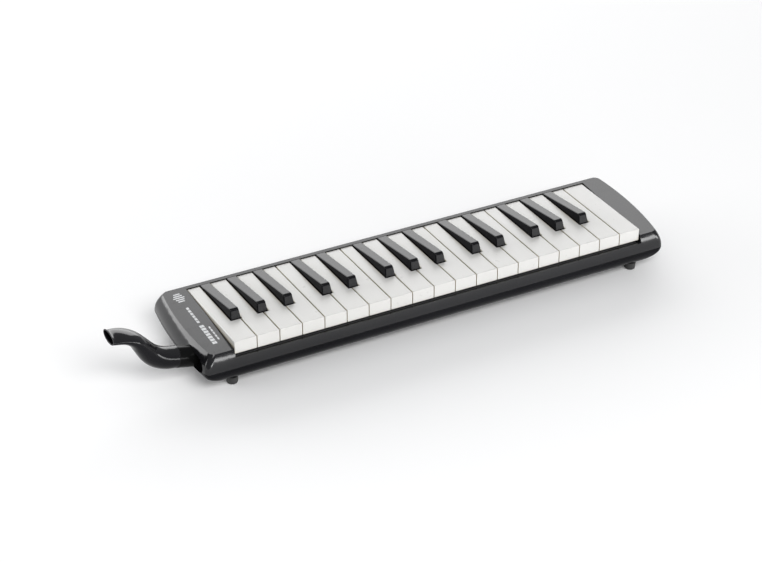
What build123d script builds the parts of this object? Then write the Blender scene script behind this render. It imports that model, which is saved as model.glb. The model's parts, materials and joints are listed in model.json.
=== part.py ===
from build123d import *
import math
import os

# Melodica with 32 keys, F3 to C6. Millimetres.
# The model is laid out in the bench frame: X along the keyboard from the left edge of the lowest
# key, Y rearward from the deck's front edge, Z up from the deck. At the end every node is moved
# so that the origin is at the middle of the bottom of the whole object's box.

# ---- driving dimensions: keyboard ----
white_pitch = 20.0  # one white key to the next
white_length = 90.0  # top of a white key, front to rear
white_front_height = 10.84  # front face of a white key
key_gap = 0.8  # between neighbouring white keys
key_edge = 0.7  # rounding of a white key's long edges and front edge
key_slope = 4.15  # degrees: the white keys' tops fall towards the rear
key_front_y = 1.42  # top front edge of the white keys
key_front_z = 5.71
key_wall = 1.6  # wall of the hollow front of a key
key_roof = 2.2  # thickness of a key's top over its hollow
key_depth = 9.6  # white top to the underside, behind the front lip
hollow_past = 8.0  # the hollow ends this far behind a black key's front
lip_thick = 2.2  # front wall of a white key, which reaches lower than the rest
black_width = 8.8  # at the level of the white tops
black_length = 59.0  # base of a black key, front to rear
black_height = 8.0  # above the white tops, at the front
black_rear_height = 0.8
black_lean = 2.6  # the front face leans back by this much
black_draft = 6.0  # degrees, each side
black_bevel = 2.3  # rounding at the top of a black key's front
black_shift = 1.85  # two black keys side by side each stand this much off their white joints
black_gap = 0.5  # between a black key and the white key beside it
swing_clear = 0.35  # left in front of a black key at full dip

# ---- driving dimensions: key action ----
pivot_to_rear = 31.2  # from the pivot to the keys' rear ends
pivot_z = -5.6
rod_r = 1.25
key_bore_clear = 0.05  # running clearance on the rod
comb_bore_clear = 0.02
rod_end_clear = 0.1
white_dip_deg = 4.25
black_dip_deg = 5.3
tooth_half = 1.1  # half the width of a comb tooth
tooth_length = 7.0
tooth_top = -3.4
tooth_clear = 0.65  # between a comb tooth and a key's narrow waist
waist_clear = 1.6  # the waist is longer than the tooth by this much at each end
tooth_inset = 0.15  # the end teeth stand clear of the cheeks
lever_start = 6.0  # the lever behind the pivot is thin from here
pad_seat = 1.4  # the boss that the pad is bonded to
pad_width = 7.4
pad_behind = 14.0  # from the pivot to the pad
pad_length = 12.0
pad_thick = 2.0
slot_width = 4.6
slot_margin = 2.2  # the pad overlaps the valve slot by this much, front and rear
felt_width = 5.5
felt_front = 0.2  # the front felt and the key frame start here
felt_inset = 1.0  # the felts end this far inside the keyboard
rear_felt_ahead = 0.5  # in front of the black keys' lower front edge
felt_clear = 0.1  # left between a key at full dip and its felt
spring_thick = 0.3
spring_width = 3.2
spring_strip = 6.0
spring_inset = 2.0
spring_tip_ahead = 16.5  # the fingers end this far in front of the pivot
spring_tip_gap = 0.05
spring_side_clear = 0.4  # between a finger and the felts beside it

# ---- driving dimensions: casing ----
rail_width = 3.6  # deck behind the keyboard
left_cheek = 20.4  # deck beyond the keyboard, at the front and rear
right_cheek = 16.8
end_bow = 4.2  # each end bows out by this much at mid depth
deck_corner = 5.5
corner_tighten = 0.25  # the corners close by this much for each mm that the wall bulges
under_corner = 8.0  # and open by this much at the underside
bulge_shape = 0.85  # below 1 the wall swells early under the deck
wall_bulge = 4.4  # at the seam the front and rear stand out beyond the deck's crease
end_bulge = 5.6  # and so do the ends
seam_z = -15.8
floor_z = -29.5  # underside of the lower casing
curl_end = 22.0  # how far the underside tucks in at the ends
curl_side = 10.0  # and at the front and rear
casing_wall = 2.2
deck_thick = 2.4
fascia_top = -6.8
cheek_gap = 0.5  # between the outer keys and the cheeks
rail_gap = 0.45  # between the keys' rear ends and the rail
skirt_wall = 1.6
skirt_bottom = -9.0
skirt_front = 2.0
seam_lip = 0.25  # the shadow groove along the seam
foot_r = 4.8
foot_height = 6.5
foot_left = 0.5  # the left feet stand inside the keyboard's end by this much
foot_right = 2.4  # and the right feet by this much
foot_y = 6.0
foot_stem_r = 2.0
foot_edge = 1.2
stem_short = 0.2  # the feet's stems end below the casing's inside

# ---- driving dimensions: air path ----
frame_top = -11.0
frame_thick = 1.5
block_height = 4.5
block_ahead = 8.5  # the block reaches past the longest cell by this much, in front
block_behind = 6.0  # and behind the cells
block_over = 2.0  # the block is longer than the keyboard by this much at each end
cell_width = 6.2
cell_behind = 2.0  # from the pads to the cells' rear ends
low_reed = 34.0
high_reed = 14.0
reed_width = 2.0
reed_slot = 2.2
reed_thick = 0.25
reed_root = 3.5
reed_past = 1.2  # the roots reach past the cells by this much
reed_clear = 1.2  # from a reed's tip to the end of its slot
reed_plate_thick = 1.0
rivet_r = 0.55
rivet_clear = 0.03
rivet_head_r = 0.94
rivet_head = 0.5
plate_split_gap = 0.6
plate_clear = 0.4  # between the reed plates and the gasket
gasket_thick = 0.8
chest_rim = 4.3
chest_rim_thick = 1.5
chest_wall = 1.4
chest_floor_gap = 0.8  # above the lower casing's inside
chest_edge_extra = 1.8  # the low rear edge is rounded by this and the casing's wall
chest_screw_r = 0.75
chest_head_r = 1.3
chest_screw_bite = 0.9  # the windchest's screws go this far into the key frame
screw_r = 1.2
screw_head_r = 2.4
screw_head = 0.9
screw_depth = 8.0  # thread below the key frame
screw_clear = 0.1
boss_r = 3.2
case_screw_r = 1.5
case_head_r = 2.8
case_boss_r = 4.0
case_head = 2.0
case_recess = 3.0  # depth of the holes that hide the heads
case_cover = 1.5  # left between a casing screw's hole and the deck
case_screw_left = 8.4  # inside the deck's left edge
case_screw_right = 7.3
case_screw_rear = 9.2
case_screw_fronts = (5.5, 8.0)  # behind the deck's front edge, left and right
cross_half = 1.6  # half the span of a head's cross recess
cross_thin = 0.3  # and half its thickness

# ---- driving dimensions: mouthpiece, socket and inlet ----
socket_y = 24.0
socket_out = 20.0  # the collar's end stands outside the deck by this much
socket_rise = 5.2  # and its centre above the casing's seam
socket_tilt = 12.0  # degrees: the mouthpiece rises outward
spigot_r = 6.9
socket_wall = 2.05
collar_edge = 0.35
spigot_edge = 0.6
spigot_clear = 0.1
spigot_length = 18.0
socket_spare = 1.0  # half of this is air behind the spigot, and half is the socket's floor
mouth_bore_r = 5.2
throat_r = 5.0
throat_bore_r = 3.8
throat_length = 7.0
spigot_bore_r = 4.8
mouth_neck = 6.0
mouth_top_deg = 55.0
mouth_bend_low = 30.0
mouth_bend_high = 26.0
mouth_middle = 13.0
mouth_end = 8.0
tip_width = 20.5
tip_height = 8.2
round_share = 0.15  # the mouthpiece starts to flatten after this share of its length
mouth_wall = 1.2
thin_share = 0.4  # the wall has thinned to that after this share of the length
ring_wire = 1.5
ring_groove = 9.0  # from the shoulder to the middle of the ring
ring_clear = 0.03
dish = (9.5, 17.0, 8.5)  # half sizes of the hollow around the collar
dish_in = 9.0  # its centre stands outside the crease by this much
dish_forward = 7.0
dish_up = 2.4
chamber_outset = 0.8  # its left end stands this far outside the deck's, less the casing's wall
chamber_ahead = 11.0  # in front of the socket
chamber_past = 3.0  # behind the port
chamber_below = 9.9  # below the casing's seam, less the casing's wall
chamber_headroom = 2.6  # below the deck
chamber_wall = 1.3
port_inset = 8.0  # from the windchest's front to the port
port_width = 11.0
port_height = 2.6
port_drop = 0.4  # below the windchest's rim
inlet_gasket_thick = 1.2
inlet_gasket_border = 3.0

# ---- driving dimensions: drain valve and printed mark ----
drain_floor_clear = 0.3  # under the valve head
button_r = 3.8
button_clear = 0.1
button_travel = 3.0
button_proud = 0.6  # left outside the casing's widest point when it is pressed
button_face_in = 1.5  # the casing falls back by this much at the button's height
button_skirt = 9.0
button_well = 4.0  # depth of the hollow for the spring
button_edge = 1.0
stem_r = 1.2
stem_hole_r = 2.3
head_r = 3.2
head_thick = 1.2
seal_thick = 0.8
drain_wire = 0.25
drain_coil_r = 2.3
drain_turns = 6
spring_clear = 0.05
stem_spring_clear = 0.6  # between the coil and the button's hollow
print_thick = 0.12
roundel_pitch = 2.6
roundel_bar = 1.5
roundel_rear = 8.6  # from the deck's rear edge to the roundel's last bar
roundel_short = 5.5  # the outer bars of the roundel
roundel_grow = 2.0  # each bar nearer the middle is longer by this much
print_left = 0.8  # the mark stands left of the cheek's middle by this much
tick_pitch = 4.0
tick_length = 3.1
tick_rows = [(-1.6, 2.2, 13.0, 7), (-0.9, 1.3, 44.0, 6), (4.6, 6.0, 17.0, 5)]  # sides, start, count

# ---- values worked out from them ----
scale_steps = [0, 2, 4, 6, 7, 9, 11]  # semitones of F G A B C D E above F
white_names = ["f", "g", "a", "b", "c", "d", "e"]
black_names = {0: "fs", 1: "gs", 2: "as", 4: "cs", 5: "ds"}
white_count = 19
span = white_count * white_pitch
black_spacing = white_pitch + 2 * black_shift
black_front = white_length - black_length  # measured along the key
hollow_end = black_front + hollow_past
collar_r = spigot_r + spigot_clear + socket_wall
key_bore_r = rod_r + key_bore_clear
comb_bore_r = rod_r + comb_bore_clear
slope_sin = math.sin(math.radians(key_slope))
slope_cos = math.cos(math.radians(key_slope))
key_plane = Plane(
    origin=(0, key_front_y, key_front_z),
    x_dir=(1, 0, 0),
    z_dir=(0, slope_sin, slope_cos),
)
frame_bottom = frame_top - frame_thick
case_screw_top = -deck_thick - case_cover  # the casing screws' holes end here
block_bottom = frame_bottom - block_height
plate_bottom = block_bottom - reed_plate_thick
chest_top = block_bottom - gasket_thick
key_rear_y = key_front_y + white_length * slope_cos
rail_y = key_rear_y + rail_gap
deck_depth = rail_y + rail_width
pivot_y = key_rear_y - pivot_to_rear
pad_front = pivot_y + pad_behind
pad_rear = pad_front + pad_length
pad_top = frame_top + pad_thick
cell_rear = pad_rear + cell_behind
block_front = cell_rear - reed_root - low_reed - block_ahead
block_rear = cell_rear + block_behind
reed_rear = cell_rear + reed_past
spring_tip_y = pivot_y - spring_tip_ahead
rear_felt_y = key_front_y + black_front * slope_cos - key_depth * slope_sin - rear_felt_ahead
spring_strip_y = (felt_front + felt_width + rear_felt_y - spring_strip) / 2
chest_floor = floor_z + casing_wall + chest_floor_gap
port_front = block_front + port_inset
port_rear = port_front + port_width
chamber_left = casing_wall - chamber_outset - left_cheek
chamber_right = -block_over - inlet_gasket_thick
chamber_front = socket_y - chamber_ahead
chamber_rear = port_rear + chamber_past
chamber_bottom = seam_z + casing_wall - chamber_below
chamber_top = -deck_thick - chamber_headroom
drain_y = (block_front + block_rear) / 2
drain_z = chest_floor + chest_wall + head_r + drain_floor_clear
tilt = math.radians(socket_tilt)
axis_out = Vector(-math.cos(tilt), 0, math.sin(tilt))
seam_point = Vector(-left_cheek - socket_out, socket_y, seam_z + socket_rise)


def on_axis(s, direction=-1):
    """Plane across the socket's axis, s inward from the shoulder, facing inward or outward."""
    return Plane(origin=seam_point - axis_out * s, z_dir=axis_out * direction)


def block(x0, x1, y0, y1, z0, z1):
    """Box between two corners."""
    middle = Pos((x0 + x1) / 2, (y0 + y1) / 2, (z0 + z1) / 2)
    return middle * Box(x1 - x0, y1 - y0, z1 - z0)


def rod_z(x, y, z0, z1, r):
    """Upright cylinder from z0 to z1."""
    return Pos(x, y, (z0 + z1) / 2) * Cylinder(r, z1 - z0)


def rod_x(x0, x1, y, z, r):
    """Cylinder along X from x0 to x1."""
    return Pos((x0 + x1) / 2, y, z) * Rot(0, 90, 0) * Cylinder(r, x1 - x0)


def underside_z(along, down):
    """Height of a point on a key, from its place along the key and its depth below the top."""
    return key_front_z - along * slope_sin - down * slope_cos


def turned(along, down, degrees):
    """Place (y, z) of a point on a key when the key is pressed by so many degrees."""
    y = key_front_y + along * slope_cos - down * slope_sin - pivot_y
    z = underside_z(along, down) - pivot_z
    turn = math.radians(degrees)
    turned_y = y * math.cos(turn) - z * math.sin(turn)
    turned_z = y * math.sin(turn) + z * math.cos(turn)
    return pivot_y + turned_y, pivot_z + turned_z


black_swing = turned(black_front, 0, 0)[0] - turned(black_front, 0, black_dip_deg)[0]
notch = black_front - black_swing - swing_clear  # the wide front of a white key ends here


# ---- where each key lies ----
def white_note(i):
    """Semitones of white key i above the lowest key."""
    return 12 * (i // 7) + scale_steps[i % 7]


def octave_of(note):
    """Octave number of a note, counted so that the lowest key is F3."""
    return 3 + (note + 5) // 12


def black_centre(i):
    """Centre of the black key that follows white key i."""
    octave_x = (i // 7) * 7 * white_pitch
    if i % 7 < 3:
        return octave_x + 2 * white_pitch + (i % 7 - 1) * black_spacing
    return octave_x + 5.5 * white_pitch + (i % 7 - 4.5) * black_spacing


def has_black(i):
    return i % 7 in black_names and 0 <= i < white_count - 1


def white_rear(i):
    """Left and right edge of white key i behind the black keys' fronts."""
    left = i * white_pitch + key_gap / 2
    right = (i + 1) * white_pitch - key_gap / 2
    if has_black(i - 1):
        left = black_centre(i - 1) + black_width / 2 + black_gap
    if has_black(i):
        right = black_centre(i) - black_width / 2 - black_gap
    return left, right


keys = []
for i in range(white_count):
    name = f"white_key_{white_names[i % 7]}{octave_of(white_note(i))}"
    left, right = white_rear(i)
    keys.append({"name": name, "white": i, "left": left, "right": right, "note": white_note(i)})
    if has_black(i):
        centre = black_centre(i)
        name = f"black_key_{black_names[i % 7]}{octave_of(white_note(i) + 1)}"
        left = centre - black_width / 2
        right = centre + black_width / 2
        keys.append({"name": name, "white": None, "left": left, "right": right, "note": white_note(i) + 1})
for key in keys:
    key["x"] = (key["left"] + key["right"]) / 2
joints_between = [(a["right"] + b["left"]) / 2 for a, b in zip(keys, keys[1:])]
end_tooth = key_gap / 2 + tooth_half - cheek_gap - tooth_inset
teeth = [end_tooth] + joints_between + [span - end_tooth]


# ---- keys ----
def in_key(x0, x1, along0, along1, down0, down1):
    """Box in the keys' own slanted frame; depths count down from the white tops."""
    return key_plane * block(x0, x1, along0, along1, -down1, -down0)


def waist_cuts(key, index):
    """The two side cuts that give a comb tooth room beside a key's pivot boss."""
    y0 = pivot_y - tooth_length / 2 - waist_clear
    y1 = pivot_y + tooth_length / 2 + waist_clear
    far = white_pitch
    top = tooth_top + waist_clear
    left = teeth[index] + tooth_half + tooth_clear
    right = teeth[index + 1] - tooth_half - tooth_clear
    cuts = block(left - far, left, y0, y1, frame_top, top)
    return cuts + block(right, right + far, y0, y1, frame_top, top)


def rear_arm(key):
    """Cut that thins the lever behind the pivot, and the boss above the pad."""
    seat = pad_top + pad_seat
    cut = block(key["left"] - 1, key["right"] + 1, pivot_y + lever_start, rail_y, frame_top - 2, seat)
    x0 = key["x"] - pad_width / 2
    x1 = key["x"] + pad_width / 2
    boss = block(x0, x1, pad_front, pad_rear, pad_top, seat)
    pad = block(x0, x1, pad_front, pad_rear, frame_top, pad_top)
    return cut, boss, pad


def finish_key(body, key, index):
    """Cuts, bore and pad that white and black keys share."""
    cut, boss, pad = rear_arm(key)
    body = body - waist_cuts(key, index) - cut + boss
    body = body - rod_x(key["left"] - 1, key["right"] + 1, pivot_y, pivot_z, key_bore_r)
    return Compound(children=[body.solid(), pad])


def white_key(key, index):
    i = key["white"]
    x0 = i * white_pitch + key_gap / 2
    x1 = (i + 1) * white_pitch - key_gap / 2
    body = in_key(x0, x1, 0, notch, 0, white_front_height)
    body += in_key(key["left"], key["right"], notch - 1, white_length, 0, white_front_height)
    body -= in_key(x0 - 1, x1 + 1, lip_thick, white_length + 1, key_depth, white_front_height + 1)
    top = max(body.faces(), key=lambda f: f.center().dot(key_plane.z_dir))
    rounded = [e for e in top.edges() if abs(e.center().Y - key_rear_y) > 1]
    body = fillet(rounded, key_edge)
    below = white_front_height + 1
    body -= in_key(x0 + key_wall, x1 - key_wall, key_wall, notch - key_wall, key_roof, below)
    rear0 = key["left"] + key_wall
    rear1 = key["right"] - key_wall
    body -= in_key(rear0, rear1, key_wall, hollow_end, key_roof, below)
    return finish_key(body, key, index)


def black_key(key, index):
    centre = key["x"]
    length = white_length - black_front
    base = key_plane * Pos(centre, black_front + length / 2, 0) * Rectangle(black_width, length)
    cap = extrude(base, amount=black_height + 2, taper=black_draft)
    side = Polyline(
        (black_front, -1),
        (black_front, 0),
        (black_front + black_lean, black_height),
        (white_length, black_rear_height),
        (white_length, -1),
        close=True,
    )
    side_plane = Plane(
        origin=key_plane.origin, x_dir=(0, slope_cos, -slope_sin), z_dir=(1, 0, 0)
    )
    profile = side_plane * make_face(side)
    cap &= Pos(centre - black_width, 0, 0) * extrude(profile, amount=2 * black_width)
    cap = cap.solid()
    nose = cap.faces().sort_by(Axis.Y)[0]
    nose_edge = nose.edges().sort_by(Axis.Z)[-1]
    cap = fillet(nose_edge, black_bevel)
    base_z = underside_z(white_length / 2, 0)
    sides = [e for e in cap.edges() if e.length > length * 0.7 and e.center().Z > base_z]
    cap = fillet(sides, key_edge)
    body = cap + in_key(key["left"], key["right"], black_front, white_length, 0, key_depth)
    rear0 = key["left"] + key_wall
    rear1 = key["right"] - key_wall
    body -= in_key(rear0, rear1, black_front + key_wall, hollow_end, 0, key_depth + 1)
    return finish_key(body, key, index)


# ---- casing ----
def outline(end_out, side_out, corner, z):
    """Outline of the casing at one height: bowed ends, straight front and rear, round corners."""
    xl = -left_cheek - end_out
    xr = span + right_cheek + end_out
    y0 = -side_out
    y1 = deck_depth + side_out
    middle = deck_depth / 2
    edges = [
        Line((xl, y0), (xr, y0)),
        ThreePointArc((xr, y0), (xr + end_bow, middle), (xr, y1)),
        Line((xr, y1), (xl, y1)),
        ThreePointArc((xl, y1), (xl - end_bow, middle), (xl, y0)),
    ]
    face = make_face(edges)
    return Pos(0, 0, z) * fillet(face.vertices(), corner)


def upper_outer(inset, z_top):
    """Solid of the upper casing's outside, drawn in by inset, from the seam to z_top."""
    faces = []
    for share in [0.0, 0.35, 0.7, 1.0]:
        swell = math.sin(share * math.pi / 2) ** bulge_shape
        side_out = wall_bulge * swell - inset
        end_out = end_bulge * swell - inset
        corner = deck_corner - corner_tighten * wall_bulge * swell
        faces.append(outline(end_out, side_out, corner, z_top + share * (seam_z - z_top)))
    return loft(faces)


def lower_outer(inset, z_bottom):
    """Solid of the lower casing's outside, drawn in by inset, from the seam down to z_bottom."""
    faces = []
    for degrees in [0, 25, 45, 65, 80, 90]:
        t = math.radians(degrees)
        tuck = 1 - math.cos(t)
        end_out = end_bulge - curl_end * tuck - inset
        side_out = wall_bulge - curl_side * tuck - inset
        corner = deck_corner - corner_tighten * wall_bulge + under_corner * tuck
        faces.append(outline(end_out, side_out, corner, seam_z + (z_bottom - seam_z) * math.sin(t)))
    return loft(faces)


def dish_shape(extra):
    """Ellipsoid that hollows the end wall around the collar."""
    a, b, c = (size + extra for size in dish)
    place = Pos(-left_cheek - end_bow / 2 - dish_in, socket_y - dish_forward, seam_z + dish_up)
    return place * scale(Sphere(1), by=(a, b, c))


def socket_hole():
    """Hole through the end wall for the socket's tube."""
    return extrude(on_axis(-5) * Circle(collar_r), amount=spigot_length + 12)


def button_hole():
    return rod_x(span, span + 99, drain_y, drain_z, button_r + button_clear)


def around_casing(z0, z1):
    """Slab between two heights, larger than the casing."""
    return block(-99, span + 99, -99, deck_depth + 99, z0, z1)


case_screw_places = [
    (x, y)
    for x, front in zip(
        (case_screw_left - left_cheek, span + right_cheek - case_screw_right), case_screw_fronts
    )
    for y in (front, deck_depth - case_screw_rear)
]
foot_places = [(x, y) for x in (foot_left, span - foot_right) for y in (foot_y, deck_depth - foot_y)]


def upper_casing():
    outer = upper_outer(0, 0)
    shell = outer - upper_outer(casing_wall, -deck_thick)
    shell -= around_casing(seam_z - 1, seam_z + seam_lip)
    shell += dish_shape(casing_wall) & outer
    # the well for the keyboard, and skirts round it
    left = -cheek_gap
    right = span + cheek_gap
    well = block(left, right, -20, rail_y, fascia_top, 10)
    skirt_rear = rail_y + skirt_wall
    skirts = block(left - skirt_wall, left, skirt_front, skirt_rear, skirt_bottom, -1)
    skirts += block(right, right + skirt_wall, skirt_front, skirt_rear, skirt_bottom, -1)
    skirts += block(left, right, rail_y, skirt_rear, skirt_bottom, -1)
    shell = shell - well + skirts
    shell -= block(left, right, 0, rail_y, fascia_top - 1, 10)
    for x, y in case_screw_places:
        shell += rod_z(x, y, seam_z, -1, case_boss_r)
        shell -= rod_z(x, y, seam_z - 1, case_screw_top, case_screw_r)
    shell -= dish_shape(0)
    shell -= socket_hole()
    return shell.solid()


def lower_casing():
    outer = lower_outer(0, floor_z)
    shell = outer - lower_outer(casing_wall, floor_z + casing_wall)
    shell -= around_casing(seam_z - seam_lip, seam_z + 1)
    shell += dish_shape(casing_wall) & outer
    inside = floor_z + casing_wall - 0.5
    for x, y in case_screw_places:
        shell += rod_z(x, y, inside, seam_z, case_boss_r)
        shell -= rod_z(x, y, floor_z - 1, seam_z + 1, case_screw_r + screw_clear)
        shell -= rod_z(x, y, floor_z - 1, floor_z + case_recess, case_head_r + screw_clear)
    for x, y in frame_screw_places:
        shell += rod_z(x, y, inside, frame_bottom, boss_r)
        shell -= rod_z(x, y, frame_bottom - screw_depth, frame_bottom + 1, screw_r)
    for x, y in foot_places:
        shell -= rod_z(x, y, floor_z - 1, seam_z, foot_stem_r)
    shell -= dish_shape(0)
    shell -= socket_hole()
    shell -= button_hole()
    return shell.solid()


def feet():
    studs = []
    for x, y in foot_places:
        stud = rod_z(x, y, floor_z - foot_height, floor_z, foot_r)
        stud = fillet(stud.edges().group_by(Axis.Z)[0], foot_edge)
        studs.append(stud + rod_z(x, y, floor_z - 1, floor_z + casing_wall - stem_short, foot_stem_r))
    return Compound(children=studs)


def case_screws():
    screws = []
    seat = floor_z + case_recess
    low = seat - case_head
    a, b = cross_half, cross_thin
    for x, y in case_screw_places:
        shank = rod_z(x, y, seat - 0.2, case_screw_top - 1, case_screw_r)
        head = rod_z(x, y, low, seat, case_head_r)
        cross = block(x - a, x + a, y - b, y + b, low - 1, low + case_head / 2)
        cross += block(x - b, x + b, y - a, y + a, low - 1, low + case_head / 2)
        screws.append(shank + head - cross)
    return Compound(children=screws)


# ---- key frame, springs and felts ----
frame_screw_places = [
    (white_pitch * (n + 0.5), spring_strip_y + spring_strip / 2) for n in (0, 4, 9, 14, 18)
]


def key_frame():
    plate = block(-block_over, span + block_over, felt_front, block_rear, frame_bottom, frame_top)
    for x in teeth:
        tooth = block(
            x - tooth_half,
            x + tooth_half,
            pivot_y - tooth_length / 2,
            pivot_y + tooth_length / 2,
            frame_bottom,
            tooth_top,
        )
        plate += tooth
    for key in keys:
        x0 = key["x"] - slot_width / 2
        x1 = key["x"] + slot_width / 2
        y0 = pad_front + slot_margin
        y1 = pad_rear - slot_margin
        plate -= block(x0, x1, y0, y1, frame_bottom - 1, frame_top + 1)
    plate -= rod_x(-20, span + 20, pivot_y, pivot_z, comb_bore_r)
    for x, y in frame_screw_places:
        plate -= rod_z(x, y, frame_bottom - 1, frame_top + 1, screw_r + screw_clear)
    for x, y in chest_screw_places:
        plate -= rod_z(x, y, frame_bottom - 1, frame_bottom + chest_screw_bite, chest_screw_r)
    return plate.solid()


def pivot_rod():
    end = cheek_gap - rod_end_clear
    return rod_x(-end, span + end, pivot_y, pivot_z, rod_r)


def spring_comb():
    y1 = spring_strip_y + spring_strip
    comb = block(spring_inset, span - spring_inset, spring_strip_y, y1, frame_top, frame_top + spring_thick)
    along = (spring_tip_y - key_front_y) / slope_cos
    tip_z = underside_z(along, key_depth) - spring_tip_gap - spring_thick
    finger = Polyline(
        (y1 - 1, frame_top),
        (y1, frame_top),
        (spring_tip_y, tip_z),
        (spring_tip_y, tip_z + spring_thick),
        (y1, frame_top + spring_thick),
        (y1 - 1, frame_top + spring_thick),
        close=True,
    )
    for key in keys:
        profile = Plane(origin=(key["x"] - spring_width / 2, 0, 0), x_dir=(0, 1, 0), z_dir=(1, 0, 0))
        comb += extrude(profile * make_face(finger), amount=spring_width)
    for x, y in frame_screw_places:
        comb -= rod_z(x, y, frame_top - 1, frame_top + 1, screw_r + screw_clear)
    return comb.solid()


def frame_screws():
    screws = []
    for x, y in frame_screw_places:
        seat = frame_top + spring_thick
        shank = rod_z(x, y, frame_bottom - screw_depth, seat + 0.2, screw_r)
        screws.append(shank + rod_z(x, y, seat, seat + screw_head, screw_head_r))
    return Compound(children=screws)


def down_stop_felts():
    x0 = felt_inset
    x1 = span - felt_inset
    front_top = turned(0, white_front_height, white_dip_deg)[1] - felt_clear
    rear_top = turned(black_front, key_depth, black_dip_deg)[1] - felt_clear
    front = block(x0, x1, felt_front, felt_front + felt_width, frame_top, front_top)
    rear = block(x0, x1, rear_felt_y, rear_felt_y + felt_width / 2, frame_top, rear_top)
    half = spring_width / 2 + spring_side_clear
    for key in keys:
        rear -= block(key["x"] - half, key["x"] + half, 0, deck_depth, frame_top - 1, 0)
    return Compound(children=[front] + list(rear.solids()))


# ---- reeds and windchest ----
def reed_length(key):
    return low_reed * (high_reed / low_reed) ** (key["note"] / 31)


chest_flange = chest_rim - chest_wall
chest_screw_places = [
    (x, y)
    for x in teeth[1::6]
    for y in (block_front + chest_flange / 2, block_rear - chest_flange / 2)
]


def reed_block():
    body = block(-block_over, span + block_over, block_front, block_rear, block_bottom, frame_bottom)
    low = block_bottom - 1
    high = frame_bottom + 1
    for key in keys:
        x0 = key["x"] - cell_width / 2
        x1 = key["x"] + cell_width / 2
        body -= block(x0, x1, cell_rear - reed_length(key) - reed_root, cell_rear, low, high)
    for x, y in chest_screw_places:
        body -= rod_z(x, y, low, high, chest_screw_r + screw_clear)
    return body.solid()


low_keys = len(keys) // 2  # the low reed plate serves this many keys
plate_split = joints_between[low_keys - 1]
plate_x0 = -block_over + chest_rim + plate_clear
plate_x1 = span + block_over - chest_rim - plate_clear


def rivet_place(key):
    return key["x"], reed_rear - reed_root / 2


def reed_plate(part_keys, x0, x1):
    """Brass plate from x0 to x1 with a slot and a rivet hole for each of its keys."""
    y0 = block_front + chest_rim + plate_clear
    y1 = block_rear - chest_rim - plate_clear
    plate = block(x0, x1, y0, y1, plate_bottom, block_bottom)
    low = plate_bottom - 1
    high = block_bottom + 1
    for key in part_keys:
        x, y = rivet_place(key)
        front = reed_rear - reed_length(key) - reed_clear
        plate -= block(x - reed_slot / 2, x + reed_slot / 2, front, reed_rear - reed_root, low, high)
        plate -= rod_z(x, y, low, high, rivet_r + rivet_clear)
    return plate.solid()


def reeds():
    tongues = []
    low = plate_bottom - reed_thick
    for key in keys:
        x, y = rivet_place(key)
        front = reed_rear - reed_length(key)
        tongue = block(x - reed_width / 2, x + reed_width / 2, front, reed_rear, low, plate_bottom)
        tongues.append(tongue - rod_z(x, y, low - 1, plate_bottom + 1, rivet_r + rivet_clear))
    return Compound(children=tongues)


def reed_rivets():
    rivets = []
    low = plate_bottom - reed_thick
    for key in keys:
        x, y = rivet_place(key)
        head = rod_z(x, y, low - rivet_head, low, rivet_head_r)
        rivets.append(head + rod_z(x, y, low - 0.1, block_bottom, rivet_r))
    return Compound(children=rivets)


def rim_frame(z0, z1, inner):
    """Flat frame that follows the windchest's rim."""
    x0 = -block_over
    x1 = span + block_over
    ring = block(x0, x1, block_front, block_rear, z0, z1)
    ring -= block(x0 + inner, x1 - inner, block_front + inner, block_rear - inner, z0 - 1, z1 + 1)
    for x, y in chest_screw_places:
        ring -= rod_z(x, y, z0 - 1, z1 + 1, chest_screw_r + screw_clear)
    return ring


def windchest_gasket():
    return rim_frame(chest_top, block_bottom, chest_rim).solid()


def windchest():
    x0 = -block_over
    x1 = span + block_over
    rim = rim_frame(chest_top - chest_rim_thick, chest_top, chest_flange)
    wall_y = block_front + chest_flange, block_rear - chest_flange
    tub = block(x0, x1, *wall_y, chest_floor, chest_top)
    low_rear = max(tub.edges().filter_by(Axis.X), key=lambda e: e.center().Y - e.center().Z)
    tub = fillet(low_rear, casing_wall + chest_edge_extra)
    inner_y = block_front + chest_rim, block_rear - chest_rim
    hollow = block(x0 + chest_wall, x1 - chest_wall, *inner_y, chest_floor + chest_wall, chest_top + 1)
    rear_curve = max(hollow.edges().filter_by(Axis.X), key=lambda e: e.center().Y - e.center().Z)
    hollow = fillet(rear_curve, casing_wall + chest_edge_extra - chest_wall)
    chest = rim + tub - hollow - port_hole()
    chest -= rod_x(x1 - 5, x1 + 5, drain_y, drain_z, stem_hole_r)
    return chest.solid()


def windchest_screws():
    screws = []
    low = chest_top - chest_rim_thick
    for x, y in chest_screw_places:
        shank = rod_z(x, y, low - 0.2, frame_bottom + chest_screw_bite, chest_screw_r)
        screws.append(shank + rod_z(x, y, low - screw_head, low, chest_head_r))
    return Compound(children=screws)


# ---- inlet ----
def port_hole():
    """Air way from the inlet chamber through the gasket into the windchest."""
    z1 = chest_top - chest_rim_thick - port_drop
    return block(chamber_right - chamber_wall - 1, 3, port_front, port_rear, z1 - port_height, z1)


def inlet_chamber():
    w = chamber_wall
    sides = chamber_left, chamber_right, chamber_front, chamber_rear, chamber_bottom, chamber_top
    inner = [side + w * (-1) ** n for n, side in enumerate(sides)]
    shell = block(*sides) - block(*inner) - port_hole()
    shell -= extrude(on_axis(spigot_length) * Circle(throat_r), amount=throat_length + 1)
    return shell.solid()


def inlet_gasket():
    y0 = port_front - inlet_gasket_border
    y1 = port_rear + inlet_gasket_border
    pad = block(chamber_right, -block_over, y0, y1, chamber_bottom + 1, chest_top - 0.2)
    return (pad - port_hole()).solid()


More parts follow.
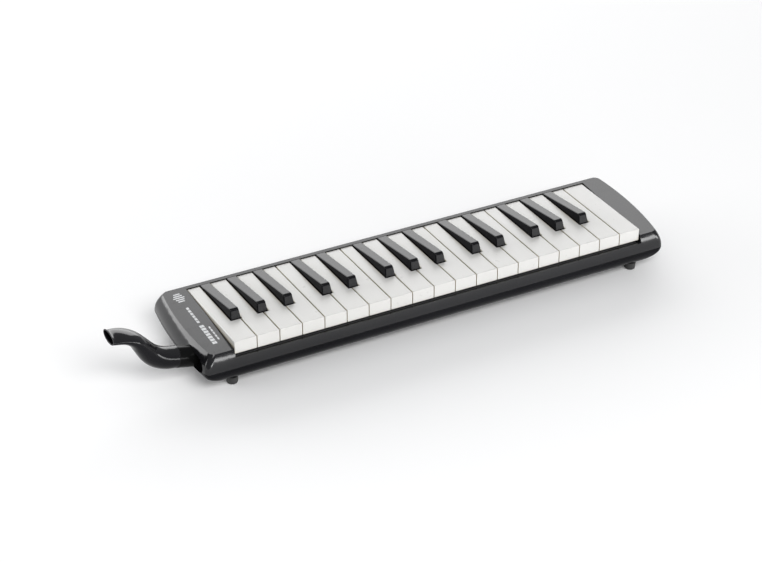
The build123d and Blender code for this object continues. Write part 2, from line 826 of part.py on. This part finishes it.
def mouthpiece_socket():
    tube_length = spigot_length + socket_spare
    bore_length = tube_length - socket_spare / 2
    tube = extrude(on_axis(0) * Circle(collar_r), amount=tube_length)
    tube = chamfer(tube.edges().filter_by(GeomType.CIRCLE).sort_by(Axis.X)[0], collar_edge)
    tube += extrude(on_axis(tube_length - 1) * Circle(throat_r), amount=throat_length + 1)
    tube -= extrude(on_axis(-1) * Circle(spigot_r + spigot_clear), amount=bore_length + 1)
    tube -= extrude(on_axis(0) * Circle(throat_bore_r), amount=tube_length + throat_length + 2)
    return tube.solid()


# ---- mouthpiece ----
def mouth_stations():
    """Points, headings and shares of the way along the mouthpiece's S, from shoulder to tip."""
    x, z = seam_point.X, seam_point.Z
    heading = tilt
    top = math.radians(mouth_top_deg)
    rows = [(x, z, heading, 0.0)]
    travelled = 0.0
    pieces = [
        (mouth_neck, 0.0, 1),
        (mouth_bend_low * (top - tilt), top - tilt, 4),
        (mouth_middle, 0.0, 2),
        (mouth_bend_high * (top - tilt), tilt - top, 4),
        (mouth_end, 0.0, 1),
    ]
    total = sum(length for length, turn, steps in pieces)
    for length, turn, steps in pieces:
        for k in range(steps):
            mean = heading + turn / steps / 2
            x -= length / steps * math.cos(mean)
            z += length / steps * math.sin(mean)
            heading += turn / steps
            travelled += length / steps
            rows.append((x, z, heading, travelled / total))
    return rows


def mouth_section(x, z, heading, share, inset):
    """Oval across the mouthpiece: round by the shoulder, then ever flatter and wider."""
    ease = max(0.0, (share - round_share) / (1 - round_share))
    ease = ease * ease * (3 - 2 * ease)
    half_wide = collar_r + (tip_width / 2 - collar_r) * ease - inset
    half_high = collar_r + (tip_height / 2 - collar_r) * ease - inset
    plane = Plane(
        origin=(x, socket_y, z),
        x_dir=(0, 1, 0),
        z_dir=(-math.cos(heading), 0, math.sin(heading)),
    )
    return plane * Ellipse(half_wide, half_high)


def mouth_inset(share):
    """Wall thickness along the mouthpiece: thick at the shoulder, thin at the tip."""
    shoulder = collar_r - mouth_bore_r
    return mouth_wall + (shoulder - mouth_wall) * max(0.0, 1 - share / thin_share)


def ring_torus(r_tube):
    radius = spigot_r + spigot_clear - ring_clear - ring_wire / 2
    return on_axis(ring_groove) * Torus(radius, r_tube)


def mouthpiece():
    rows = mouth_stations()
    body = loft([mouth_section(x, z, heading, share, 0) for x, z, heading, share in rows])
    bore = loft([mouth_section(x, z, heading, share, mouth_inset(share)) for x, z, heading, share in rows])
    spigot = extrude(on_axis(-0.5) * Circle(spigot_r), amount=spigot_length + 0.5)
    spigot = chamfer(spigot.edges().filter_by(GeomType.CIRCLE).sort_by(Axis.X)[-1], spigot_edge)
    body += spigot
    body -= bore
    body -= extrude(on_axis(-1) * Circle(spigot_bore_r), amount=spigot_length + 2)
    body -= ring_torus(ring_wire / 2 + ring_clear)
    return body.solid()


def mouthpiece_seal():
    return ring_torus(ring_wire / 2)


# ---- drain valve ----
drain_wall_x = span + block_over  # outer face of the windchest's end wall
seal_x = drain_wall_x - chest_wall  # its inner face, where the seal closes
head_x = seal_x - seal_thick
case_end_x = span + right_cheek + end_bow + end_bulge
button_face_x = case_end_x - button_face_in + button_proud + button_travel
button_skirt_x = button_face_x - button_skirt


def drain_button():
    button = rod_x(button_skirt_x, button_face_x, drain_y, drain_z, button_r)
    button = fillet(button.edges().filter_by(GeomType.CIRCLE).sort_by(Axis.X)[-1], button_edge)
    well_x = button_skirt_x + button_well
    button -= rod_x(button_skirt_x - 1, well_x, drain_y, drain_z, drain_coil_r + stem_spring_clear)
    button += rod_x(head_x, well_x + 1, drain_y, drain_z, stem_r)
    return button.solid()


def drain_seal():
    ring = rod_x(head_x, seal_x, drain_y, drain_z, head_r)
    return ring - rod_x(head_x - 1, seal_x + 1, drain_y, drain_z, stem_r)


def drain_valve_head():
    return rod_x(head_x - head_thick, head_x, drain_y, drain_z, head_r)


def drain_spring():
    x0 = drain_wall_x + drain_wire + spring_clear
    x1 = button_skirt_x + button_well - drain_wire - spring_clear
    path = Helix(pitch=(x1 - x0) / drain_turns, height=x1 - x0, radius=drain_coil_r)
    start = Plane(origin=path @ 0, z_dir=path % 0)
    wire = sweep(start * Circle(drain_wire), path=path, is_frenet=True)
    return Pos(x0, drain_y, drain_z) * Rot(0, 90, 0) * wire


# ---- printed mark: plain bars in place of lettering ----
def deck_print():
    """Five bars that make a roundel, and three rows of ticks."""
    bars = []
    x = -left_cheek / 2 - print_left
    for n in range(5):
        half = (roundel_short + roundel_grow * (2 - abs(n - 2))) / 2
        y = deck_depth - roundel_rear - roundel_pitch * (4 - n)
        bars.append(block(x - half, x + half, y, y + roundel_bar, 0, print_thick))
    for x0, x1, first_y, count in tick_rows:
        for n in range(count):
            y = first_y + n * tick_pitch
            bars.append(block(x + x0, x + x1, y, y + tick_length, 0, print_thick))
    return Compound(children=bars)


# ---- build, place and write ----
nodes = {}
for index, key in enumerate(keys):
    make = black_key if key["white"] is None else white_key
    nodes[key["name"]] = make(key, index)
nodes["upper_casing"] = upper_casing()
nodes["lower_casing"] = lower_casing()
nodes["feet"] = feet()
nodes["case_screws"] = case_screws()
nodes["key_frame"] = key_frame()
nodes["pivot_rod"] = pivot_rod()
nodes["spring_comb"] = spring_comb()
nodes["frame_screws"] = frame_screws()
nodes["down_stop_felts"] = down_stop_felts()
nodes["reed_block"] = reed_block()
nodes["reed_plate_low"] = reed_plate(keys[:low_keys], plate_x0, plate_split - plate_split_gap / 2)
nodes["reed_plate_high"] = reed_plate(keys[low_keys:], plate_split + plate_split_gap / 2, plate_x1)
nodes["reeds"] = reeds()
nodes["reed_rivets"] = reed_rivets()
nodes["windchest_gasket"] = windchest_gasket()
nodes["windchest"] = windchest()
nodes["windchest_screws"] = windchest_screws()
nodes["inlet_chamber"] = inlet_chamber()
nodes["inlet_gasket"] = inlet_gasket()
nodes["mouthpiece_socket"] = mouthpiece_socket()
nodes["mouthpiece"] = mouthpiece()
nodes["mouthpiece_seal"] = mouthpiece_seal()
nodes["drain_button"] = drain_button()
nodes["drain_valve_head"] = drain_valve_head()
nodes["drain_seal"] = drain_seal()
nodes["drain_spring"] = drain_spring()
nodes["deck_print"] = deck_print()

boxes = [shape.bounding_box() for shape in nodes.values()]
low = [min(getattr(box.min, axis) for box in boxes) for axis in "XYZ"]
high = [max(getattr(box.max, axis) for box in boxes) for axis in "XYZ"]
origin = Vector((low[0] + high[0]) / 2, (low[1] + high[1]) / 2, low[2])

os.makedirs("parts", exist_ok=True)
for name, shape in nodes.items():
    export_step(Pos(-origin.X, -origin.Y, -origin.Z) * shape, f"parts/{name}.step")
print("size", [round(high[k] - low[k], 2) for k in range(3)], "nodes", len(nodes))
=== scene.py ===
import json
import math

import bpy
from mathutils import Matrix, Vector

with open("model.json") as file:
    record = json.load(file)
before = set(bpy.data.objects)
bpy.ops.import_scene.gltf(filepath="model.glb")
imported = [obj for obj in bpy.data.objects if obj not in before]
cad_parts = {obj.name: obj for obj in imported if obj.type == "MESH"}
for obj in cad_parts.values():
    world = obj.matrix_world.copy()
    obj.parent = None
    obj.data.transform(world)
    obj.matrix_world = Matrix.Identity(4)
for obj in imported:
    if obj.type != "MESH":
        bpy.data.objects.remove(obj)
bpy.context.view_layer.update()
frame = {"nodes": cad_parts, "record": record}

nodes = frame["nodes"]


# ---- the camera: the photograph's viewing angle ----
VIEW_AZIMUTH = -29.558  # degrees, from straight in front towards the player's left
VIEW_ELEVATION = 34.542
VIEW_ROLL = 2.377
VIEW_DISTANCE = 1.9256
VIEW_LENS = 110.884
VIEW_AIM = Vector((-0.0077, -0.01395, 0.036))
SENSOR_WIDTH = 36  # mm
CLIP_NEAR = 0.01
CLIP_FAR = 50


def make_camera():
    azimuth = math.radians(VIEW_AZIMUTH)
    elevation = math.radians(VIEW_ELEVATION)
    back = Vector(
        (
            math.sin(azimuth) * math.cos(elevation),
            -math.cos(azimuth) * math.cos(elevation),
            math.sin(elevation),
        )
    )
    level = Vector((0, 0, 1)).cross(back).normalized()
    upright = back.cross(level)
    roll = math.radians(VIEW_ROLL)
    right = level * math.cos(roll) + upright * math.sin(roll)
    up = back.cross(right)
    camera = bpy.data.objects.new("camera", bpy.data.cameras.new("camera"))
    camera.data.lens = VIEW_LENS
    camera.data.sensor_width = SENSOR_WIDTH
    camera.data.clip_start = CLIP_NEAR
    camera.data.clip_end = CLIP_FAR
    turn = Matrix((right, up, back)).transposed().to_4x4()
    camera.matrix_world = Matrix.Translation(VIEW_AIM + back * VIEW_DISTANCE) @ turn
    bpy.context.scene.collection.objects.link(camera)
    bpy.context.scene.camera = camera


# ---- the studio ----
AMBIENT = 0.32
AMBIENT_COLOUR = (0.97, 0.98, 1.0, 1)
FLOOR_HALF = 6.0
FLOOR_DROP = 0.0002  # below the feet
FLOOR_ALBEDO = 0.96
SOFT_BOXES = [  # name, place, aim, width, height, radiance
    ("rear_box", (0.55, 2.1, 0.85), (0, 0, 0.05), 3.6, 1.6, 2.8),
    ("left_box", (-1.25, 0.95, 0.26), (-0.2, 0, 0.02), 1.7, 0.6, 5.0),
    ("front_strip", (0.7, -1.5, 0.13), (0, 0, 0.02), 2.6, 0.24, 10.0),
    ("high_box", (-0.2, -1.6, 1.7), (0, 0, 0), 1.5, 1.0, 6.5),
]


def soft_box(name, place, aim, width, height, radiance):
    """Area light of a given radiance, facing a point."""
    light = bpy.data.lights.new(name, "AREA")
    light.shape = "RECTANGLE"
    light.size = width
    light.size_y = height
    light.energy = radiance * math.pi * width * height
    lamp = bpy.data.objects.new(name, light)
    lamp.location = place
    lamp.rotation_euler = (Vector(aim) - Vector(place)).to_track_quat("-Z", "Y").to_euler()
    bpy.context.scene.collection.objects.link(lamp)


def make_studio():
    world = bpy.data.worlds.new("studio")
    bpy.context.scene.world = world
    world.use_nodes = True
    back = world.node_tree.nodes["Background"]
    back.inputs["Color"].default_value = AMBIENT_COLOUR
    back.inputs["Strength"].default_value = AMBIENT
    bpy.context.scene.view_settings.view_transform = "Standard"
    for light in SOFT_BOXES:
        soft_box(*light)
    mesh = bpy.data.meshes.new("floor")
    half = FLOOR_HALF
    corners = [(-half, -half, 0), (half, -half, 0), (half, half, 0), (-half, half, 0)]
    mesh.from_pydata(corners, [], [(0, 1, 2, 3)])
    floor = bpy.data.objects.new("floor", mesh)
    floor.location.z = -FLOOR_DROP
    bpy.context.scene.collection.objects.link(floor)
    material, shader, _ = new_material("floor_paper")
    shader.inputs["Base Color"].default_value = (FLOOR_ALBEDO, FLOOR_ALBEDO, FLOOR_ALBEDO, 1)
    shader.inputs["Roughness"].default_value = 0.9
    shader.inputs["Specular IOR Level"].default_value = 0.2
    mesh.materials.append(material)


# ---- material building ----
def new_material(name):
    material = bpy.data.materials.new(name)
    material.use_nodes = True
    tree = material.node_tree
    return material, tree.nodes["Principled BSDF"], tree


def place_of(tree, stretch=(1, 1, 1)):
    """Position on the object in metres, stretched along its axes."""
    coordinates = tree.nodes.new("ShaderNodeTexCoord")
    mapping = tree.nodes.new("ShaderNodeMapping")
    mapping.inputs["Scale"].default_value = stretch
    tree.links.new(coordinates.outputs["Object"], mapping.inputs["Vector"])
    return mapping.outputs["Vector"]


def noise(tree, scale, detail=4.0, rough=0.55, stretch=(1, 1, 1), distortion=0.0):
    """Noise of so many lumps to the metre."""
    node = tree.nodes.new("ShaderNodeTexNoise")
    node.inputs["Scale"].default_value = scale
    node.inputs["Detail"].default_value = detail
    node.inputs["Roughness"].default_value = rough
    node.inputs["Distortion"].default_value = distortion
    tree.links.new(place_of(tree, stretch), node.inputs["Vector"])
    return node.outputs["Fac"]


def spread(tree, value, low, high, out_low=0.0, out_high=1.0):
    """Maps a value from one range to another, held at the ends."""
    node = tree.nodes.new("ShaderNodeMapRange")
    node.inputs["From Min"].default_value = low
    node.inputs["From Max"].default_value = high
    node.inputs["To Min"].default_value = out_low
    node.inputs["To Max"].default_value = out_high
    tree.links.new(value, node.inputs["Value"])
    return node.outputs["Result"]


def combine(tree, operation, a, b):
    """Maths on two values; b may be a number."""
    node = tree.nodes.new("ShaderNodeMath")
    node.operation = operation
    tree.links.new(a, node.inputs[0])
    if isinstance(b, (int, float)):
        node.inputs[1].default_value = b
    else:
        tree.links.new(b, node.inputs[1])
    return node.outputs["Value"]


def blend_colours(tree, share, colour_a, colour_b):
    node = tree.nodes.new("ShaderNodeMix")
    node.data_type = "RGBA"
    tree.links.new(share, node.inputs["Factor"])
    for socket, colour in ((node.inputs["A"], colour_a), (node.inputs["B"], colour_b)):
        if isinstance(colour, tuple):
            socket.default_value = (*colour, 1)
        else:
            tree.links.new(colour, socket)
    return node.outputs["Result"]


def bump(tree, shader, height, distance):
    """Raises the surface by height times distance, in metres."""
    node = tree.nodes.new("ShaderNodeBump")
    node.inputs["Strength"].default_value = 1.0
    node.inputs["Distance"].default_value = distance
    tree.links.new(height, node.inputs["Height"])
    tree.links.new(node.outputs["Normal"], shader.inputs["Normal"])


def hairlines(tree, scale, stretch):
    """Sparse thin scratches, 1 on a scratch and 0 off it."""
    lines = noise(tree, scale, 2.0, 0.4, stretch, 0.6)
    return spread(tree, lines, 0.66, 0.72)


FLAT_DOT = 0.98  # the rounded and the true normal agree this well on a flat face
SHARP_DOT = 0.75  # and this badly on a sharp edge


def edge_share(tree, radius):
    """1 on a sharp edge of the mesh and 0 on a flat face."""
    bevel = tree.nodes.new("ShaderNodeBevel")
    bevel.samples = 4
    bevel.inputs["Radius"].default_value = radius
    geometry = tree.nodes.new("ShaderNodeNewGeometry")
    dot = tree.nodes.new("ShaderNodeVectorMath")
    dot.operation = "DOT_PRODUCT"
    tree.links.new(bevel.outputs["Normal"], dot.inputs[0])
    tree.links.new(geometry.outputs["Normal"], dot.inputs[1])
    return spread(tree, dot.outputs["Value"], FLAT_DOT, SHARP_DOT)


# ---- the materials ----
def gloss_black(name, colour, polish, peel, shine, flank_shine):
    """Black injection moulding: painted reflection, stronger on faces that look up and weaker on the
    flanks, set by which way a face points in the world; peel and hairlines.
    """
    material, shader, tree = new_material(name)
    cloud = noise(tree, 9, 3)
    haze = noise(tree, 55, 6, 0.6)
    scratch = hairlines(tree, 60, (1, 9, 9))
    paler = tuple(c * 1.5 + 0.002 for c in colour)
    shade = blend_colours(tree, spread(tree, cloud, 0.3, 0.7), colour, paler)
    worn = edge_share(tree, 0.0004)
    shade = blend_colours(tree, combine(tree, "MULTIPLY", worn, 0.35), shade, (0.12, 0.12, 0.125))
    tree.links.new(shade, shader.inputs["Base Color"])
    rough = spread(tree, haze, 0.3, 0.75, polish, polish + 0.05)
    rough = combine(tree, "ADD", rough, combine(tree, "MULTIPLY", scratch, 0.08))
    tree.links.new(rough, shader.inputs["Roughness"])
    shader.inputs["IOR"].default_value = 1.5
    # painted reflection: the specular strength follows which way the face points in the world, high
    # facing up and low on the flanks
    geometry = tree.nodes.new("ShaderNodeNewGeometry")
    split = tree.nodes.new("ShaderNodeSeparateXYZ")
    tree.links.new(geometry.outputs["Normal"], split.inputs["Vector"])
    painted_reflection_strength = spread(tree, split.outputs["Z"], 0.25, 0.8, flank_shine, shine)
    tree.links.new(painted_reflection_strength, shader.inputs["Specular IOR Level"])
    bump(tree, shader, noise(tree, 700, 2), peel)
    return material


def ivory():
    """Warm white moulded key plastic, with painted shade down in the gaps that makes it darker and
    yellower there.
    """
    material, shader, tree = new_material("ivory_plastic")
    cloud = spread(tree, noise(tree, 14, 4), 0.3, 0.7)
    shade = blend_colours(tree, cloud, (0.57, 0.565, 0.545), (0.60, 0.595, 0.58))
    # painted shade: ambient occlusion darkens and yellows the key colour in the gaps and close to
    # neighbouring parts
    gap_occlusion = tree.nodes.new("ShaderNodeAmbientOcclusion")
    gap_occlusion.samples = 8
    gap_occlusion.inputs["Distance"].default_value = 0.006
    painted_gap_shade = spread(tree, gap_occlusion.outputs["AO"], 0.35, 0.85)
    # the colour of the painted gap shade
    shade = blend_colours(tree, painted_gap_shade, (0.57, 0.52, 0.40), shade)
    tree.links.new(shade, shader.inputs["Base Color"])
    touch = noise(tree, 120, 5, 0.6)
    scratch = hairlines(tree, 90, (8, 1, 8))
    rough = spread(tree, touch, 0.3, 0.7, 0.27, 0.33)
    rough = combine(tree, "ADD", rough, combine(tree, "MULTIPLY", scratch, 0.01))
    tree.links.new(rough, shader.inputs["Roughness"])
    shader.inputs["IOR"].default_value = 1.5
    bump(tree, shader, noise(tree, 500, 2), 0.00002)
    return material


def metal(name, colour, rough, stretch, tarnish):
    """Metal with a brushed or rolled grain along one axis and a little tarnish."""
    material, shader, tree = new_material(name)
    grain = noise(tree, 400, 3, 0.6, stretch)
    stain = spread(tree, noise(tree, 60, 5, 0.6), 0.4, 0.75)
    shade = blend_colours(tree, combine(tree, "MULTIPLY", stain, 0.5), colour, tarnish)
    tree.links.new(shade, shader.inputs["Base Color"])
    shader.inputs["Metallic"].default_value = 1.0
    tree.links.new(spread(tree, grain, 0.3, 0.7, rough, rough + 0.2), shader.inputs["Roughness"])
    bump(tree, shader, grain, 0.00001)
    return material


def rubber():
    material, shader, tree = new_material("black_rubber")
    cloud = noise(tree, 300, 5, 0.65)
    shade = blend_colours(tree, cloud, (0.012, 0.012, 0.012), (0.03, 0.03, 0.03))
    tree.links.new(shade, shader.inputs["Base Color"])
    tree.links.new(spread(tree, cloud, 0.3, 0.7, 0.45, 0.7), shader.inputs["Roughness"])
    bump(tree, shader, noise(tree, 1500, 4), 0.00005)
    return material


def felt():
    material, shader, tree = new_material("felt")
    fibre = noise(tree, 1800, 6, 0.7, (1, 1, 3), 1.5)
    shade = blend_colours(tree, fibre, (0.012, 0.012, 0.013), (0.04, 0.04, 0.042))
    tree.links.new(shade, shader.inputs["Base Color"])
    shader.inputs["Roughness"].default_value = 0.95
    shader.inputs["Sheen Weight"].default_value = 0.5
    bump(tree, shader, fibre, 0.0002)
    return material


def grey_moulding():
    material, shader, tree = new_material("grey_plastic")
    cloud = noise(tree, 40, 4)
    shade = blend_colours(tree, cloud, (0.07, 0.072, 0.078), (0.1, 0.102, 0.108))
    tree.links.new(shade, shader.inputs["Base Color"])
    tree.links.new(spread(tree, cloud, 0.3, 0.7, 0.5, 0.65), shader.inputs["Roughness"])
    bump(tree, shader, noise(tree, 1200, 3), 0.00005)
    return material


def ink():
    """Screen-printed pale grey ink with a slightly broken edge."""
    material, shader, tree = new_material("pale_print")
    speck = spread(tree, noise(tree, 1400, 4, 0.7), 0.28, 0.42)
    shade = blend_colours(tree, speck, (0.25, 0.25, 0.26), (0.62, 0.63, 0.64))
    tree.links.new(shade, shader.inputs["Base Color"])
    tree.links.new(spread(tree, noise(tree, 300, 4), 0.3, 0.7, 0.35, 0.5), shader.inputs["Roughness"])
    bump(tree, shader, speck, 0.00002)
    return material


def paint(node, material):
    mesh = nodes[node].data
    mesh.materials.clear()
    mesh.materials.append(material)


GLOSS_BLACKS = {  # colour, polish, peel, shine of faces that look up, shine of the flanks (both shines are painted reflection strength)
    "black_gloss_plastic": ((0.005, 0.005, 0.006), 0.1, 0.00001, 0.42, 0.46),
    "black_key_plastic": ((0.003, 0.003, 0.004), 0.15, 0.00001, 0.24, 0.03),
    "black_tub_plastic": ((0.003, 0.003, 0.004), 0.16, 0.00001, 0.2, 0.06),
    "black_collar_plastic": ((0.003, 0.003, 0.003), 0.16, 0.00001, 0.12, 0.05),
    "black_mouth_plastic": ((0.004, 0.004, 0.005), 0.1, 0.00001, 0.6, 0.12),
}
METALS = {  # colour, roughness, stretch of the grain, tarnish
    "aluminium_sheet": ((0.78, 0.79, 0.81), 0.28, (0.05, 4, 1), (0.6, 0.61, 0.62)),
    "brass": ((0.80, 0.60, 0.27), 0.25, (0.1, 3, 1), (0.5, 0.35, 0.15)),
    "steel": ((0.66, 0.66, 0.67), 0.22, (0.1, 2, 2), (0.45, 0.44, 0.43)),
}
OWN_BLACKS = {  # mouldings whose black differs from their slot's, in colour and in painted reflection strength
    "lower_casing": "black_tub_plastic",
    "mouthpiece_socket": "black_collar_plastic",
    "mouthpiece": "black_mouth_plastic",
}


def make_materials():
    slots = {
        "ivory_plastic": ivory(),
        "felt": felt(),
        "black_rubber": rubber(),
        "grey_plastic": grey_moulding(),
        "pale_print": ink(),
    }
    for name, values in GLOSS_BLACKS.items():
        slots[name] = gloss_black(name, *values)
    for name, values in METALS.items():
        slots[name] = metal(name, *values)
    for row in frame["record"]["subparts"]:
        node = row["node"]
        paint(node, slots[OWN_BLACKS.get(node, row["material_slot"])])


SHARP_DEGREES = 32  # an edge turned by more than this stays crisp


def smooth_shading():
    """Smooth shading with the moulded edges kept."""
    for part in nodes.values():
        part.data.polygons.foreach_set("use_smooth", [True] * len(part.data.polygons))
        part.data.set_sharp_from_angle(angle=math.radians(SHARP_DEGREES))


make_camera()
make_studio()
make_materials()
smooth_shading()
